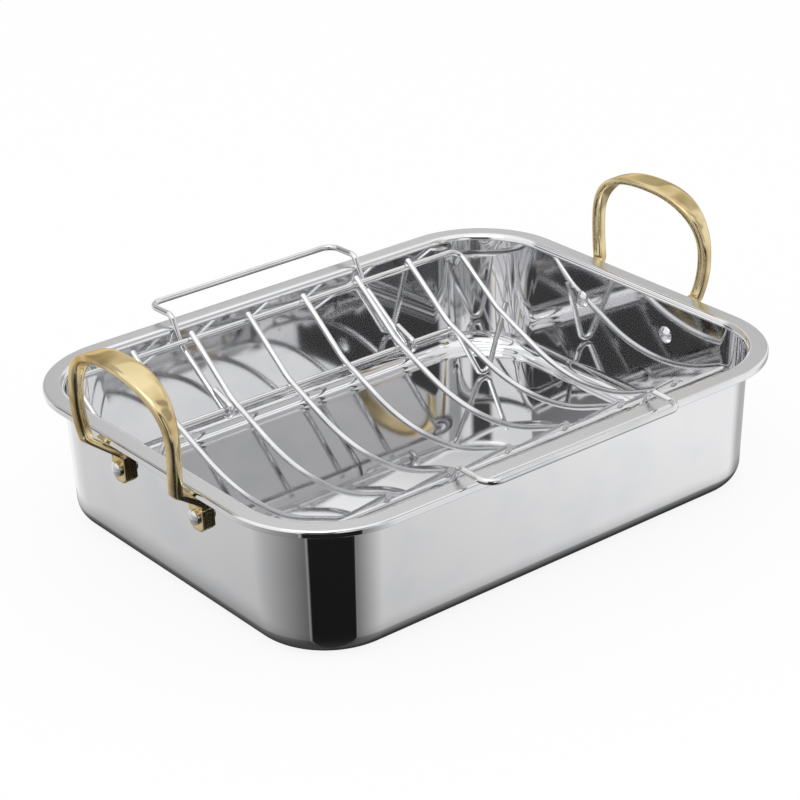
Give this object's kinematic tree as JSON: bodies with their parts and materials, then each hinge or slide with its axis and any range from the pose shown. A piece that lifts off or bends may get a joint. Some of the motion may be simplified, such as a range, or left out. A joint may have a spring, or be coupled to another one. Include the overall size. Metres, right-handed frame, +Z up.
{
  "type": "roasting pan with lift-out rack",
  "caption": "Open polished steel roasting pan with riveted brass strap handles and a curved wire cradle that lifts out by hinged wire handles.",
  "frame": {"origin": "centre of the pan's flat bottom, on the table; the cradle stands a little off it towards the left end", "axes": "+X along the pan towards the right handle, +Y across it towards the rear, +Z up"},
  "size_m": [0.4368, 0.3418, 0.155],
  "materials": {
    "pan_steel": "mirror-polished stainless steel sheet",
    "wire_steel": "bright polished stainless steel wire",
    "brass": "polished brass-coloured metal",
    "rivet_steel": "polished stainless steel"
  },
  "bodies": {
    "pan": {"pan_body": "pan_steel", "left_handle": "brass", "right_handle": "brass", "left_front_rivet": "rivet_steel", "left_rear_rivet": "rivet_steel", "right_front_rivet": "rivet_steel", "right_rear_rivet": "rivet_steel"},
    "rack": {"rack_frame": "wire_steel", "cross_wire_1": "wire_steel", "cross_wire_2": "wire_steel", "cross_wire_3": "wire_steel", "cross_wire_4": "wire_steel", "cross_wire_5": "wire_steel", "cross_wire_6": "wire_steel", "front_runner": "wire_steel", "rear_runner": "wire_steel"},
    "front_lift_handle": {"front_lift_handle": "wire_steel"},
    "rear_lift_handle": {"rear_lift_handle": "wire_steel"}
  },
  "joints": [
    {"name": "rack_lift", "type": "slide", "parent": "pan", "child": "rack", "axis": [0, 0, 1], "range_m": [0, 0.16]},
    {"name": "rear_lift_handle_hinge", "type": "hinge", "parent": "rack", "child": "rear_lift_handle", "pos_m": [-0.005, 0.085, 0.05092], "axis": [1, 0, 0], "range_deg": [0, 1.8]},
    {"name": "front_lift_handle_hinge", "type": "hinge", "parent": "rack", "child": "front_lift_handle", "pos_m": [-0.005, -0.085, 0.05092], "axis": [-1, 0, 0], "range_deg": [0, 1.8]}
  ]
}
